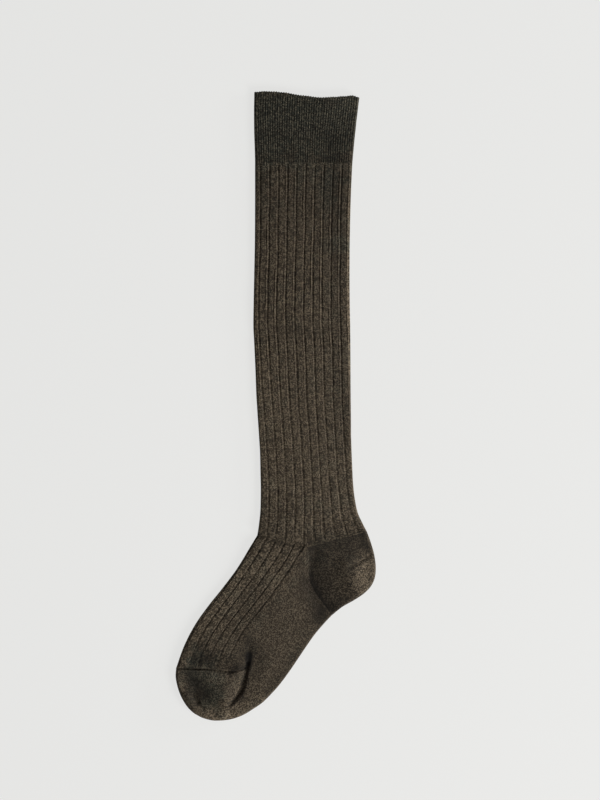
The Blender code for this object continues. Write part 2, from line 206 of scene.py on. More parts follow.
# Where the yarn is painted darker, below zero, or lighter: painted shade and painted highlights of folds,
# creases, hollows and edges, in the heel and toe partly also their darker yarn.
PAINTED_SHADING = table_of(
    Fold,
    # The cuff and the upper leg.
    (-0.06, 10, ((34, 258), (40, 240))),
    (0.16, 6, ((-20, 221), (68, 220))),
    (-0.22, 45, ((-14, 200), (62, 195))),
    (-0.25, 10, ((50, 225), (52, 85))),
    # The back fold catches the light.
    (0.80, 2, ((67, 205), (64.6, 178), (63.8, 143), (63.6, 110), (64.2, 60), (64.4, 30))),
    # The fold across the leg, and the lower leg.
    (-0.22, 6, ((-22, 66), (66, 64.5))),
    (0.12, 34, ((0, 60), (26, -60))),
    (0.23, 14, ((-8, 44), (-4, -66))),
    (-0.22, 8, ((56, 44), (58, -36))),
    # The ankle, and the heel's upper line.
    (-0.14, 5, ((-16, -113), (20, -120.5))),
    (-0.40, 2.2, ((-16, -112.3), (-13.5, -112.8))),
    (-0.22, 5.5, ((31, -113), (50, -109))),
    (-0.08, 5, ((52, -107), (74, -102))),
    (-0.27, 5, ((29, -122), (40, -118.5), (76, -109))),
    # The instep.
    (0.19, 10, ((-20, -132), (0, -147))),
    (0.34, 8, ((-30, -142), (-46, -166), (-60, -186))),
    # The heel.
    (-0.20, 6, ((54, -125), (74, -120))),
    (-0.20, 4.5, ((75, -112), (80, -122))),
    (-0.24, 4.5, ((66, -131), (66, -142))),
    (0.52, 9.5, ((78, -140), (75, -152))),
    (-0.24, 5.5, ((56, -172), (68, -165))),
    (-0.24, 10, ((36, -130), (40, -152), (47, -172))),
    (-0.14, 4, ((28, -126), (30.5, -148), (40, -174))),
    # The sole, beside the heel and along its outline.
    (-0.30, 4.5, ((21, -130), (25, -148))),
    (-0.50, 8, ((25, -155), (34, -173), (42, -187))),
    (-0.20, 6, ((42, -176), (32, -186), (24, -190))),
    (-0.36, 7.5, ((28, -202), (10, -228), (-6, -247))),
    (-0.21, 26, ((2, -180), (-12, -215))),
    # Above the toe's seam.
    (-0.12, 12, ((-70, -214), (-36, -220))),
    (-0.52, 6.5, ((-68, -217.5), (-57, -218.5))),
    (-0.20, 4.5, ((-65, -209), (-60, -213))),
    (-0.25, 3, ((-38, -225), (-29, -223.5))),
    (-0.12, 6, ((-40, -218), (-30, -218))),
    (-0.13, 7, ((-30, -192), (-28, -212))),
    # The toe pocket.
    (0.18, 5, ((-82, -230), (-83, -243))),
    (-0.74, 10, ((-74, -233), (-64, -247))),
    (-0.42, 4.5, ((-76, -249), (-70, -257))),
    (-0.12, 6, ((-58, -250), (-54, -256))),
    (0.32, 4.5, ((-64, -265), (-50, -266), (-40, -266))),
    (-0.36, 6, ((-35, -233), (-39, -250))),
    # The seam's end and the deep crease beside the toe.
    (-0.45, 1.9, ((-40, -229), (-34, -227.5), (-27, -225.8))),
    (-0.25, 4, ((-22.9, -199), (-23.5, -216))),
    (-0.50, 2.6, ((-23.4, -215.5), (-24, -221.5))),
    (-0.12, 9, ((-20, -204), (-20, -230))),
    (-0.40, 3, ((-22.5, -215), (-23.8, -225.9), (-25.7, -233.3), (-30.6, -249.7), (-36, -255.5))),
)
# Cloudy patches where the yarn is greyer, 1 for all grey.
GREYS = table_of(
    Fold,
    (0.80, 38, ((-10, 246), (62, 246))),
    (0.25, 14, ((52, 190), (56, 140))),
    (0.15, 10, ((34, -126), (56, -128))),
    (0.55, 13, ((-68, -222), (-56, -248))),
)
# The heel's last course bows out over the sole this far, and draws the cloth beside it along.
HEEL_BOW = 7.5
BOW_SPREAD = 20.0
BOW_POWER = 1.5  # above 1, the bow starts and ends more gently
# How the cuff's edge waves: how far above its straight line it stands, across the sock.
EdgeWave = namedtuple("EdgeWave", "x rise")
EDGE_WAVES = table_of(
    EdgeWave,
    (-18.8, 0), (-10.6, 1.2), (0.3, 1.6), (8.6, 1.5), (16.4, 0.7),
    (27.2, 0.1), (35.9, -0.8), (46.7, -0.4), (58.6, 0.8), (66.1, 1.3),
    (72, -0.3),
)
EDGE_REACH = 16.0  # how far below the edge its waves are felt
SCALLOP = 0.75  # how far the edge dips between two fine ribs
LIP_TURNS = (25, 55, 90, 125, 155)  # the rings that round the edge off, in degrees

# Layers of soft noise: how far each reaches up or down, how wide its hills are, and its seed.
Ripple = namedtuple("Ripple", "height size seed")
SLACK = (Ripple(0.14, 24.0, 5), Ripple(0.07, 8.0, 6))
WANDER = (Ripple(0.05, 26.0, 11), Ripple(0.022, 7.0, 12))
UNEVEN_STITCHES = (Ripple(0.22, 2.1, 21), Ripple(0.25, 11.0, 22))
RAGGED_EDGE = (Ripple(0.3, 4.0, 9),)
PROUD_PATCHES = (Ripple(1.1, 17.0, 23),)
NOISE_CELLS = 64
NOISE_START = 100.0

UNDER_LIFT = 0.1  # how far the lower layer lies off the floor on the whole
HIGHEST_ARCH = 1.2  # and at most
LAYER_GAP = 0.1  # the least room between the layers
LANDING = 4.0  # how sharply the upper layer lands on the lower one


# ---------------------------------------------------------------------------------------------
# Settings


class KnitSizes(bpy.types.PropertyGroup):
    """How the cloth is knitted."""

    furrow: FloatProperty(
        name="Rib furrow", description="Depth of the furrow between two broad ribs",
        default=0.6 * MM, unit="LENGTH",
    )
    fine_furrow: FloatProperty(
        name="Cuff furrow", description="Depth of the furrow between two fine ribs",
        default=0.3 * MM, unit="LENGTH",
    )
    wale: FloatProperty(
        name="Wale relief", description="How far a column of stitches stands out",
        default=0.14 * MM, unit="LENGTH",
    )
    course: FloatProperty(
        name="Course height", description="Height of one row of stitches",
        default=0.8 * MM, unit="LENGTH",
    )
    stitch: FloatProperty(
        name="Stitch relief", description="How far the loops of yarn stand out",
        default=0.3 * MM, unit="LENGTH",
    )


class YarnColours(bpy.types.PropertyGroup):
    """The yarn's colours."""

    dark: FloatVectorProperty(
        name="Dark fibres", description="Darkest fibres of the heather",
        subtype="COLOR", default=(0.019, 0.0149, 0.0100),
    )
    middle: FloatVectorProperty(
        name="Brown fibres", description="Main colour of the heather",
        subtype="COLOR", default=(0.0482, 0.0366, 0.0235),
    )
    light: FloatVectorProperty(
        name="Light fibres", description="Palest fibres of the heather",
        subtype="COLOR", default=(0.128, 0.100, 0.068),
    )
    grey: FloatVectorProperty(
        name="Grey fibres", description="Greyer yarn in patches of the cuff, leg, heel and toe",
        subtype="COLOR", default=(0.0320, 0.0323, 0.0247),
    )


class StageSettings(bpy.types.PropertyGroup):
    """The floor, the light and the camera."""

    floor: FloatVectorProperty(
        name="Floor", description="Colour of the floor", subtype="COLOR", default=(0.08, 0.08, 0.078)
    )
    glow: FloatProperty(name="Floor glow", description="Light from behind the floor sheet", default=0.72)
    key: FloatProperty(
        name="Key light", description="Strength of the softbox at the lower right",
        default=80.0, unit="POWER",
    )
    rim: FloatProperty(
        name="Rim light", description="Strength of the low strip light at the right",
        default=50.0, unit="POWER",
    )
    sky: FloatProperty(name="Sky", description="Strength of the even light all round", default=0.2)
    height: FloatProperty(
        name="Camera height", description="How far above the floor the camera stands",
        default=2.2, unit="LENGTH",
    )


# ---------------------------------------------------------------------------------------------
# The shape of the cloth


def rows_of(table, places):
    """The table's columns at many places along it, on a smooth curve through its rows."""
    values = np.array(table, float)
    spot = np.asarray(places, float) * (len(values) - 1)
    index = np.clip(spot.astype(int), 0, len(values) - 2)
    u = (spot - index)[:, None]
    around = [values[np.clip(index + k, 0, len(values) - 1)] for k in (-1, 0, 1, 2)]
    weights = (
        (-u + 2 * u * u - u**3) / 2,
        (2 - 5 * u * u + 3 * u**3) / 2,
        (u + 4 * u * u - 3 * u**3) / 2,
        (u**3 - u * u) / 2,
    )
    mixed = sum(weight * rows for weight, rows in zip(weights, around))
    return type(table[0])(*(mixed[:, k, None] for k in range(values.shape[1])))


def distance_to(x, y, start, end):
    """How far points of the plan lie from a straight stretch of fold."""
    run_x, run_y = end[0] - start[0], end[1] - start[1]
    share = ((x - start[0]) * run_x + (y - start[1]) * run_y) / (run_x * run_x + run_y * run_y)
    share = np.clip(share, 0.0, 1.0)
    return np.hypot(x - start[0] - share * run_x, y - start[1] - share * run_y)


def summed(folds, x, y):
    """What a table of soft patches adds up to at points of the plan."""
    total = np.zeros(np.broadcast(x, y).shape)
    for fold in folds:
        stretches = zip(fold.points, fold.points[1:])
        nearest = np.min([distance_to(x, y, start, end) for start, end in stretches], axis=0)
        total += fold.height * np.exp(-((nearest / fold.spread) ** 2))
    return total


def ease(value):
    """A smooth step from 0 to 1."""
    value = np.clip(value, 0.0, 1.0)
    return value * value * (3 - 2 * value)


def soft_noise(x, y, size, seed):
    """Smooth random hills, about size apart, between -1 and 1."""
    lattice = np.random.default_rng(seed).uniform(-1, 1, (NOISE_CELLS, NOISE_CELLS))
    u, v = x / size + NOISE_START, y / size + NOISE_START
    left, low = np.floor(u).astype(int), np.floor(v).astype(int)
    across, up = ease(u - left), ease(v - low)
    left, right = left % NOISE_CELLS, (left + 1) % NOISE_CELLS
    low, high = low % NOISE_CELLS, (low + 1) % NOISE_CELLS
    below = lattice[left, low] * (1 - across) + lattice[right, low] * across
    above = lattice[left, high] * (1 - across) + lattice[right, high] * across
    return below * (1 - up) + above * up


def rippled(ripples, x, y):
    """What layers of soft noise add up to."""
    return sum(ripple.height * soft_noise(x, y, ripple.size, ripple.seed) for ripple in ripples)


def laps(course, ribs):
    """Where wales lie round the tube: 0 front fold, 1 side line, 2 back fold, below 0 underneath."""
    at = ribs + course.turn
    at = np.where(at > HALF_RIBS, at - 2 * HALF_RIBS, at)
    at = np.where(at < -HALF_RIBS, at + 2 * HALF_RIBS, at)
    size = np.abs(at)
    beyond = 1 + (size - course.side_ribs) / (HALF_RIBS - course.side_ribs)
    lap = np.where(size <= course.side_ribs, size / course.side_ribs, beyond)
    return np.copysign(lap, at)


def cloth_points(fold_x, fold_y, side_x, side_y, lap, edge, rise, wall, inset, dip):
    """Points of the tube's wall, in millimetres: inset in from its outer face, and sunk by dip.

    lap runs from the fold, 0, to the side line, 1, with a minus sign on the underside."""
    radius = edge / 2
    reach = radius - inset - dip
    run_x, run_y = side_x - fold_x, side_y - fold_y
    length = np.hypot(run_x, run_y)
    quarter = math.pi / 2 * radius
    arc = np.abs(lap) * (quarter + length - radius)
    angle = np.minimum(arc / radius, math.pi / 2)
    inward = radius - reach * np.cos(angle) + np.maximum(arc - quarter, 0.0)
    x = fold_x + run_x / length * inward
    y = fold_y + run_y / length * inward
    level = np.sin(angle)
    uneven = rippled(SLACK, x, y)
    arch = np.clip(summed(UNDER_FOLDS, x, y) + UNDER_LIFT + uneven, 0.0, HIGHEST_ARCH)
    under = radius - (reach - arch) * level
    # However deep a crease is, the upper layer lies on the lower one and doesn't go through it.
    swell = rise * np.sin(math.pi / 2 * np.abs(lap)) + summed(UPPER_FOLDS, x, y) + uneven
    lowest = 2 * wall + arch + LAYER_GAP - edge
    swell = lowest + np.log1p(np.exp(LANDING * (swell - lowest))) / LANDING
    upper = radius + (reach + swell) * level
    return np.stack([x, y, np.where(lap < 0, under, upper)], axis=-1)


def bowed(points):
    """Points moved by the bow of the heel's last course, which starts at the corner of the ankle."""
    start, end = np.array(HEEL_CORNER), np.array(HEEL_COURSES[-1][:2])
    run = end - start
    length = np.hypot(*run)
    way, aside = run / length, np.array([run[1], -run[0]]) / length
    share = ((points[..., :2] - start) @ way) / length
    off = ((points[..., :2] - start) @ aside) / BOW_SPREAD
    amount = HEEL_BOW * np.sin(math.pi * np.clip(share, 0.0, 1.0)) ** BOW_POWER * np.exp(-(off**2))
    points[..., :2] += amount[..., None] * aside
    return points


def tube_points(course, ribs, wall, inset, dip, wander=1.0):
    """Points of the leg, foot, cuff or toe: round the front fold or the back one.

    The wales wander a little from their straight lines."""

    def place(shift, inset, dip):
        lap = laps(course, ribs + shift)
        front = np.abs(lap) <= 1
        fold_x = np.where(front, course.front_x, course.back_x)
        fold_y = np.where(front, course.front_y, course.back_y)
        off = np.where(front, lap, np.copysign(2 - np.abs(lap), lap))
        return cloth_points(
            fold_x, fold_y, course.side_x, course.side_y, off, course.edge, course.rise, wall, inset, dip
        )

    straight = place(0.0, 0.0, 0.0)
    return place(wander * rippled(WANDER, straight[..., 0], straight[..., 1]), inset, dip)


# ---------------------------------------------------------------------------------------------
# The relief of the knitting


# A broad furrow's bed and edge, in wales from its middle. A crisp furrow's edge lies nearer.
FURROW_BED = 0.15
FURROW_EDGE = 1.75
CRISP_EDGE = 1.2
# The columns of stitches in front of a furrow, in wales from its middle: the last stands proud.
Column = namedtuple("Column", "height place width")
SHOULDER = (Column(1.0, -1.5, 0.36), Column(-1.3, -2.5, 0.42))


def wale_valleys(ribs):
    """1 between two columns of stitches, 0 on their crests."""
    return 1 - np.abs(np.sin(math.pi * WALES_PER_RIB * ribs))


def broad_furrows(ribs, crisp):
    """1 in the furrow between two broad ribs and 0 on the ribs. crisp runs from 0, soft, to 1."""
    from_furrow = np.abs(ribs % 1.0 - 0.5) * WALES_PER_RIB
    edge = FURROW_EDGE + (CRISP_EDGE - FURROW_EDGE) * crisp
    return ease((edge - from_furrow) / (edge - FURROW_BED))


def rib_shoulders(ribs):
    """1 on the last column of stitches in front of a furrow, which stands proud, and below 0 beside it."""
    from_furrow = (ribs % 1.0 - 0.5) * WALES_PER_RIB
    return sum(
        column.height * np.exp(-(((from_furrow - column.place) / column.width) ** 2)) for column in SHOULDER
    )


def uneven_knitting(ribs, along):
    """How much deeper or shallower a furrow is from stitch to stitch, about 1."""
    return 1 + rippled(UNEVEN_STITCHES, ribs * RIB_WIDTH, along)


def fine_furrows(ribs):
    """1 in the furrow between two fine ribs of the cuff."""
    return 0.5 + 0.5 * np.cos(2 * math.pi * (ribs * FINE_PER_BROAD - 0.5))


# ---------------------------------------------------------------------------------------------
# Making the pieces. A stretch is a grid of rings, and a ring is a pair: its place along the stretch, from
# 0 to 1, and how far it is set into the wall.

RIM_STEP = 1.0  # rings further apart than this across the wall have a rim between them
SMALLEST_SHARE = 0.02
WELD_DISTANCE = 2e-6
STRAY_LENGTH = 1e-7
MEASURED_COURSES = 200
GATHERING = 6  # the power that draws the last outer rings together
# Over how many millimetres the relief dies away towards a stretch's end, and over what part of a lap the
# front's knitting turns into the back's.
END_CHANGE = 1.6
LAP_CHANGE = 0.05
# How light the yarn is, where it isn't 1. The cuff's and heel's are partly darker yarn and partly painted
# shade.
CUFF_TONE_AND_SHADE = 0.70
LEG_TONE = 0.96
HEEL_TONE_AND_SHADE = 0.62


def columns_of(rings):
    """The rings' places along their stretch, and how far they are set into its wall, as two columns."""
    pairs = np.array(rings)
    return pairs[:, :1], pairs[:, 1:]


def rims_of(rings):
    """The rings where the shell turns square from one face of the wall to the other."""
    insets = [inset for _, inset in rings]
    steps = [k for k in range(len(rings) - 1) if abs(insets[k + 1] - insets[k]) > RIM_STEP]
    return {k + side for k in steps for side in (0, 1)} | {0}


def narrowed(share):
    """The share of stitches left where all would fill this share of the width, in a knitter's steps."""
    return np.exp2(np.round(2 * np.log2(np.maximum(share, SMALLEST_SHARE))) / 2)


def wrap_grid(points, stitch, furrow, rims, tone_and_painted_shading=1.0, kept=1.0):
    """A closed shell from a grid of points: where its edges lie on each other they are welded.

    The rings whose numbers are in rims stay sharp, so that a piece runs on smoothly into the next.
    stitch holds each point's wale and course, for the UV map, and kept the share of wales and of courses
    that narrowing has left in each face. The points carry three masks for the wool: how much painted shade a
    furrow gives it, the yarn's lightness with painted shade and painted highlights laid over it, and how grey
    it is."""
    rows, columns = points.shape[:2]
    masks = {
        "furrow": np.broadcast_to(furrow, (rows, columns)),
        # The piece's own lightness, with the table's painted shade and painted highlights added.
        "tone_and_painted_shading": tone_and_painted_shading + summed(PAINTED_SHADING, points[..., 0], points[..., 1]),
        "grey": summed(GREYS, points[..., 0], points[..., 1]),
    }
    mesh = bmesh.new()
    uv_layer = mesh.loops.layers.uv.new("Stitches")
    layers = {mask: mesh.verts.layers.float.new(mask) for mask in masks}
    bmesh.ops.create_grid(mesh, x_segments=columns - 1, y_segments=rows - 1, size=0.5)
    place_of = {}
    for vert in mesh.verts:
        column = round((vert.co.x + 0.5) * (columns - 1))
        row = round((vert.co.y + 0.5) * (rows - 1))
        place_of[vert] = (row, column)
    for vert, place in place_of.items():
        vert.co = points[place] * MM
        for mask, layer in layers.items():
            vert[layer] = masks[mask][place]
    for edge in mesh.edges:
        (row, _), (other_row, _) = (place_of[vert] for vert in edge.verts)
        edge.smooth = not (row == other_row and row in rims)
    kept = np.broadcast_to(kept, (rows - 1, columns - 1, 2))
    for face in mesh.faces:
        face.smooth = True
        first = min(place_of[vert] for vert in face.verts)
        for loop in face.loops:
            loop[uv_layer].uv = stitch[place_of[loop.vert]] * kept[first]
    bmesh.ops.remove_doubles(mesh, verts=mesh.verts, dist=WELD_DISTANCE)
    bmesh.ops.dissolve_degenerate(mesh, edges=mesh.edges, dist=STRAY_LENGTH)
    return mesh


def finish_piece(name, mesh, material):
    """Turns a closed shell into an object that rides on the frame and takes its finish from the slot."""
    if any(edge.is_boundary for edge in mesh.edges):
        raise RuntimeError(f"{name}: the cloth has an open edge")
    bmesh.ops.recalc_face_normals(mesh, faces=mesh.faces)
    data = bpy.data.meshes.new(name)
    mesh.to_mesh(data)
    mesh.free()
    data.materials.append(material)
    piece = bpy.data.objects.new(name, data)
    bpy.context.scene.collection.objects.link(piece)
    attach(piece, "root")
    return piece


def all_wales():
    """Every sample round the tube, in ribs, closing on itself."""
    count = 2 * HALF_RIBS * WALES_PER_RIB * SAMPLES_PER_WALE
    return np.linspace(-HALF_RIBS, HALF_RIBS, count + 1)[None, :]


def middle_line(table):
    """How far along the cloth the middle of each course lies from the first one, in millimetres."""
    fine = rows_of(table, np.linspace(0, 1, MEASURED_COURSES))
    middle_x = (fine.front_x + fine.side_x + fine.back_x)[:, 0] / 3
    middle_y = (fine.front_y + fine.side_y + fine.back_y)[:, 0] / 3
    steps = np.hypot(np.diff(middle_x), np.diff(middle_y))
    return np.concatenate([[0], np.cumsum(steps)])


def knitted_tube(table, rings, wall, relief, first_course, wander=1.0):
    """The points of a stretch of the tube, with each point's wale and course and how much painted shade a
    furrow gives it.

    relief gives how deep each outer point is sunk, and that shade, from its ribs, how far the ring is from
    either end of the stretch, and its lap. first_course is the number of the first course of stitches."""
    places, inset = columns_of(rings)
    ribs = all_wales()
    course = rows_of(table, places[:, 0])
    run = middle_line(table)
    along = np.interp(places, np.linspace(0, 1, len(run)), run)
    dip, furrow = relief(ribs, along, run[-1] - along, laps(course, ribs))
    dip = np.where(inset > 0, 0.0, dip)
    points = bowed(tube_points(course, ribs, wall, inset, dip, wander))
    height = bpy.context.scene.sock_knit.course / MM
    stitch = np.stack(
        np.broadcast_arrays(ribs * WALES_PER_RIB, first_course - along / height), axis=-1
    )
    return points, stitch, np.broadcast_to(furrow, dip.shape)


def shell_rings(outer, inner, wall, closer=1.0):
    """Rings up the outside and back down the inside, ending where they start.

    Towards the last course the outer ones stand that many times closer."""
    even = np.linspace(0, 1, outer + 1)
    rings = [(place, 0.0) for place in even + (1 - 1 / closer) * even**GATHERING * (1 - even)]
    rings += [(place, wall) for place in np.linspace(1, 0, inner + 1)]
    return rings + [rings[0]]


def make_cuff():
    """The cuff: fine rib, with a rounded edge that waves and dips between its ribs."""
    sizes = bpy.context.scene.sock_knit
    length = middle_line(CUFF_COURSES)[-1]
    turns = np.radians(LIP_TURNS)
    rings = [(place, 0.0) for place in np.linspace(1, 0, num=41)]
    rings += [(-WALL / 2 * math.sin(turn) / length, WALL / 2 * (1 - math.cos(turn))) for turn in turns]
    rings += [(place, WALL) for place in np.linspace(0, 1, num=13)]
    rings += rings[:1]

    def relief(ribs, from_edge, from_leg, lap):
        fine = fine_furrows(ribs)
        return fine * sizes.fine_furrow / MM, fine

    points, stitch, furrow = knitted_tube(CUFF_COURSES, rings, WALL, relief, first_course=75.0)
    waves = np.array(EDGE_WAVES)
    x, y = points[..., 0], points[..., 1]
    near_edge = ease(1 - columns_of(rings)[0] * length / EDGE_REACH)
    # The dips between the ribs stay nearer the edge than its waves.
    dips = SCALLOP * fine_furrows(all_wales()) + rippled(RAGGED_EDGE, x, y * 0)
    points[..., 1] += near_edge**2 * np.interp(x, waves[:, 0], waves[:, 1])
    points[..., 1] -= near_edge**6 * dips
    mesh = wrap_grid(points, stitch, furrow, rims_of(rings), tone_and_painted_shading=CUFF_TONE_AND_SHADE)
    cuff = finish_piece("ribbed_cuff", mesh, wool("cuff_wool"))
    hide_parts("cuff")


# Below the cuff the fine ribs turn into broad ones over this much, and the proud stitches come in.
INTO_BROAD = 2.6
INTO_PROUD = 14.0
# The leg's ribs are softest for this far up from the ankle, and ever crisper over this much more.
SOFT_REACH = 60.0
CRISP_REACH = 170.0
SOFTEST = 0.25  # how crisp they are there, from 0 to 1
SHALLOWEST = 0.6  # how deep a furrow is where it isn't crisp at all, as a share
PROUD = 0.23  # how far the proud stitches stand out
PROUD_SHARE = 0.6  # and how many do, on the whole
PATCH_JUMP = 40.0  # how far apart in the noise two neighbouring furrows are
# At the calf the ribs die away above the heel's line: where they end, and over how much.
CALF_END = 0.5
CALF_CHANGE = 2.5


def make_leg():
    """The leg: broad ribs all round, down to the heel's upper line."""
    sizes = bpy.context.scene.sock_knit

    def relief(ribs, from_cuff, from_ankle, lap):
        at_cuff = ease(from_cuff / INTO_BROAD)
        calf = ease((np.abs(lap) - 1.0) / LAP_CHANGE)
        knitted = 1 - calf * (1 - ease((from_ankle - CALF_END) / CALF_CHANGE))
        crisp = SOFTEST + (1 - SOFTEST) * ease((from_ankle - SOFT_REACH) / CRISP_REACH)
        uneven = uneven_knitting(ribs, from_cuff)
        furrow = broad_furrows(ribs, crisp) * knitted * (SHALLOWEST + (1 - SHALLOWEST) * crisp) * uneven
        # The proud stitches beside each furrow come and go along it, and each furrow has its own.
        own = np.floor(ribs) * PATCH_JUMP
        proud = ease(PROUD_SHARE + rippled(PROUD_PATCHES, own, from_cuff))
        shoulder = PROUD * crisp * ease(from_cuff / INTO_PROUD) * proud * uneven
        wales = wale_valleys(ribs) * sizes.wale / MM - shoulder * rib_shoulders(ribs)
        broad = furrow * sizes.furrow / MM + knitted * wales
        fine = fine_furrows(ribs)
        return at_cuff * broad + (1 - at_cuff) * fine * sizes.fine_furrow / MM, (1 - at_cuff) * fine

    rings = shell_rings(outer=128, inner=12, wall=HIDDEN_WALL)
    points, stitch, furrow = knitted_tube(LEG_COURSES, rings, HIDDEN_WALL, relief, first_course=0.0)
    mesh = wrap_grid(points, stitch, furrow, rims_of(rings), tone_and_painted_shading=LEG_TONE)
    leg = finish_piece("ribbed_leg", mesh, wool("leg_wool"))
    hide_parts("leg")


# Where the instep's ribs end on the lower and on the upper layer, and over what part of a rib.
INSTEP_FROM = -6.6
INSTEP_TO = 5.2
RIB_CHANGE = 0.2
INSTEP_CRISP = 0.6
# The furrows are worn flatter towards the toes: from how far before them, over how much, how deep they are
# and how much painted shade they get above that, and how much of each is worn off.
WORN_FROM = 36.0
WORN_CHANGE = 32.0
INSTEP_DEPTH = 0.61
WORN_DEPTH = 0.29
INSTEP_SHADE = 1.6
WORN_SHADE = 0.8
HEEL_CHANGE = 4.0  # the sole's wales start over this much beside the heel
SOLE_WALES = 0.1  # how far they stand out, as a share of the instep's
SOLE_FINER = 0.95  # how many more wales the sole has than the instep, as a share


def make_foot():
    """The foot: broad ribs over the instep, plain under the sole."""
    sizes = bpy.context.scene.sock_knit

    def relief(ribs, from_ankle, from_toe, lap):
        instep = ease((INSTEP_TO - ribs) / RIB_CHANGE) * ease((ribs - INSTEP_FROM) / RIB_CHANGE)
        sole = ease((np.abs(lap) - 1.0) / LAP_CHANGE)
        at_ends = (1 - sole * (1 - ease(from_ankle / HEEL_CHANGE))) * ease(from_toe / END_CHANGE)
        worn = ease((WORN_FROM - from_toe) / WORN_CHANGE)
        uneven = (1 + uneven_knitting(ribs, from_ankle)) / 2
        furrow = broad_furrows(ribs, INSTEP_CRISP) * instep * at_ends * uneven
        depth = (INSTEP_DEPTH - WORN_DEPTH * worn) * furrow * sizes.furrow / MM
        wales = (SOLE_WALES + (1 - SOLE_WALES) * instep) * wale_valleys(ribs) * sizes.wale / MM * at_ends
        return depth + wales, (INSTEP_SHADE - WORN_SHADE * worn) * furrow

    rings = shell_rings(outer=122, inner=10, wall=HIDDEN_WALL, closer=3.0)
    points, stitch, furrow = knitted_tube(FOOT_COURSES, rings, HIDDEN_WALL, relief, first_course=-415.0)
    ribs = all_wales()
    beyond_instep = np.maximum(ribs - INSTEP_TO, 0.0) + np.minimum(ribs - INSTEP_FROM, 0.0)
    stitch[..., 0] += SOLE_FINER * WALES_PER_RIB * beyond_instep
    mesh = wrap_grid(points, stitch, furrow, rims_of(rings))
    foot = finish_piece("ribbed_foot", mesh, wool("foot_wool"))
    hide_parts("foot")


TOE_RELIEF = 0.4  # how far the toe's wales stand out, as a share of the leg's
TIP_CHANGE = 14.0  # and how far from its tip they start to die away
TOE_CLOSING = 1.3  # the power that draws its rings together towards the tip
LAST_INSIDE = 0.9  # the inside ends this far along


def make_toe():
    """The toe pocket: plain, narrowing to a rounded end."""
    sizes = bpy.context.scene.sock_knit
    tip = TOE_COURSES[-1]
    outer = [(place, 0.0) for place in np.sin(math.pi / 2 * np.linspace(0, 1, num=64) ** TOE_CLOSING)]
    inner = [(place, HIDDEN_WALL) for place in np.linspace(LAST_INSIDE, 0, num=14)]
    rings = inner + outer

    def relief(ribs, from_seam, from_tip, lap):
        fade = ease(from_seam / END_CHANGE) * ease(from_tip / TIP_CHANGE)
        return TOE_RELIEF * wale_valleys(ribs) * fade * sizes.wale / MM, 0.0

    points, stitch, furrow = knitted_tube(
        TOE_COURSES, rings, HIDDEN_WALL, relief, first_course=-590.0, wander=0.0
    )
    stitch /= PLAIN_FINER
    # Towards the tip the two layers come together in a half round.
    across = np.array([tip.back_x - tip.front_x, tip.back_y - tip.front_y])
    inward = np.array([-across[1], across[0]]) / np.hypot(*across)
    bulge = np.array([tip.side_x - tip.front_x, tip.side_y - tip.front_y]) @ inward
    share = ((points[..., :2] - (tip.front_x, tip.front_y)) @ across) / (across @ across)
    from_tip = (points[..., :2] - (tip.front_x, tip.front_y)) @ inward
    from_tip -= bulge * np.sin(math.pi * np.clip(share, 0, 1))
    inset = columns_of(rings)[1]
    radius = tip.edge / 2 - inset
    round_off = np.sqrt(1 - (1 - np.clip((from_tip - inset) / radius, 0, 1)) ** 2)
    round_off[[0, -1]] = 0.0
    points[..., 2] = tip.edge / 2 + (points[..., 2] - tip.edge / 2) * round_off
    girth = np.linalg.norm(np.diff(points, axis=1), axis=-1).sum(axis=1)[:-1, None]
    wales_kept = narrowed(girth / (2 * HALF_RIBS * WALES_PER_RIB))
    kept = np.stack([wales_kept, np.ones_like(wales_kept)], axis=-1)
    mesh = wrap_grid(points, stitch, furrow, rims_of(rings), kept=kept)
    toe = finish_piece("toe_pocket", mesh, wool("toe_wool", contrast=1.3))
    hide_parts("toe")


SEAM_LOOPS = 92
SEAM_SUNK = 0.3  # how far below the cloth's face the loops' middles lie
SEAM_ENDS = 0.3  # how much of a rib it stops short of the folds
LOOP_RADIUS = 0.75
LOOP_STRETCH = (1.15, 0.42, 0.42)  # along the yarn, across it, and up
LOOP_LEAN = 0.5  # how far the loops lean over the seam, in radians
LEAN_UNEVEN = 0.15
SEAM_PAINTED_SHADE = 0.55


